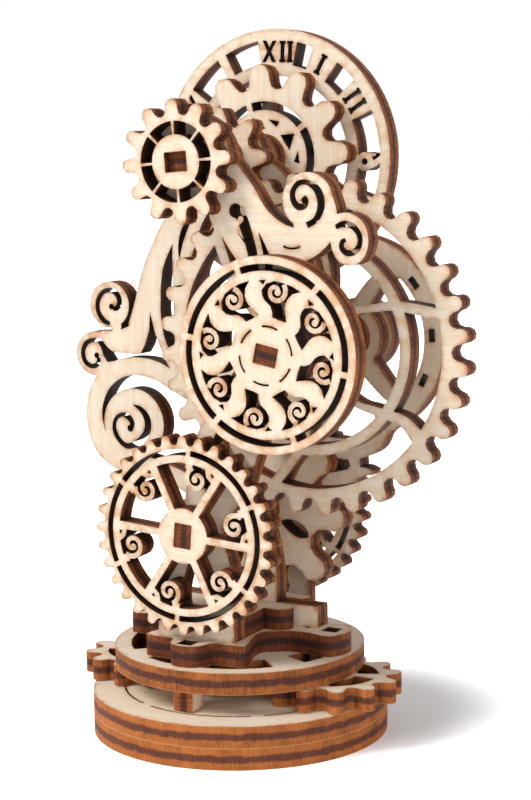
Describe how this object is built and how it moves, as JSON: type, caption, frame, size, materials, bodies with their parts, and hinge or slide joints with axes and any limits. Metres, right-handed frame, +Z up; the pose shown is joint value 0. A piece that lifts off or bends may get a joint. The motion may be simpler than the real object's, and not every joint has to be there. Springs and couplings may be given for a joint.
{
  "type": "wooden clock movement model",
  "caption": "Laser-cut plywood clock movement model: pierced gear wheels and scroll frames on a turning round deck, with a pierced Roman dial at the back.",
  "frame": {"origin": "centre of the underside of the round base", "axes": "+Z up, wheel faces look towards -Y, +X to the right seen from the front"},
  "size_m": [0.0623, 0.0416, 0.0977],
  "materials": {
    "plywood_face": "bare birch plywood, laser-burnt edges",
    "plywood_burnt": "bare plywood seen on its laser-burnt edges"
  },
  "bodies": {
    "base": {"base_disc_lower": "plywood_burnt", "base_disc_upper": "plywood_face", "centre_dowel": "plywood_burnt", "centre_flat_wheel": "plywood_face"},
    "turret": {"deck_ring": "plywood_face", "clover_plate": "plywood_face", "flat_wheel_pins": "plywood_burnt", "deck_posts": "plywood_burnt", "front_lock": "plywood_face", "rear_lock": "plywood_face", "front_frame": "plywood_face", "middle_frame": "plywood_face", "rear_frame": "plywood_face", "dial": "plywood_face"},
    "left_flat_wheel": {"flat_wheel_left": "plywood_face"},
    "right_flat_wheel": {"flat_wheel_right": "plywood_face"},
    "middle_train": {"middle_stick": "plywood_burnt", "sun_disc": "plywood_face", "drive_wheel": "plywood_face", "middle_collars": "plywood_burnt", "middle_rear_cap": "plywood_face"},
    "lower_train": {"lower_stick": "plywood_burnt", "lower_front_wheel": "plywood_face", "lower_inner_pinion": "plywood_face", "lobed_wheel": "plywood_face", "lower_rear_wheel": "plywood_face", "lower_collars": "plywood_burnt"},
    "upper_train": {"upper_stick": "plywood_burnt", "upper_front_pinion": "plywood_face", "upper_inner_pinion": "plywood_face", "rosette_wheel": "plywood_face", "upper_collars": "plywood_burnt"}
  },
  "joints": [
    {"name": "deck_turn", "type": "hinge", "parent": "base", "child": "turret", "pos_m": [0, 0, 0.0123], "axis": [0, 0, 1], "continuous": true},
    {"name": "flat_left_spin", "type": "hinge", "parent": "turret", "child": "left_flat_wheel", "pos_m": [-0.0145, 0, 0.0076], "axis": [0, 0, 1], "continuous": true},
    {"name": "flat_right_spin", "type": "hinge", "parent": "turret", "child": "right_flat_wheel", "pos_m": [0.0145, 0, 0.0076], "axis": [0, 0, 1], "continuous": true},
    {"name": "middle_spin", "type": "hinge", "parent": "turret", "child": "middle_train", "pos_m": [0.01291, 0, 0.0549], "axis": [0, 1, 0], "continuous": true},
    {"name": "lower_spin", "type": "hinge", "parent": "turret", "child": "lower_train", "pos_m": [0, 0, 0.0301], "axis": [0, 1, 0], "continuous": true},
    {"name": "upper_spin", "type": "hinge", "parent": "turret", "child": "upper_train", "pos_m": [0, 0, 0.0797], "axis": [0, 1, 0], "continuous": true}
  ],
  "couplings": [
    {"joint": "flat_left_spin", "follows": "deck_turn", "ratio": 0.66667},
    {"joint": "flat_right_spin", "follows": "deck_turn", "ratio": 0.66667},
    {"joint": "lower_spin", "follows": "middle_spin", "ratio": -4},
    {"joint": "upper_spin", "follows": "middle_spin", "ratio": -4}
  ]
}
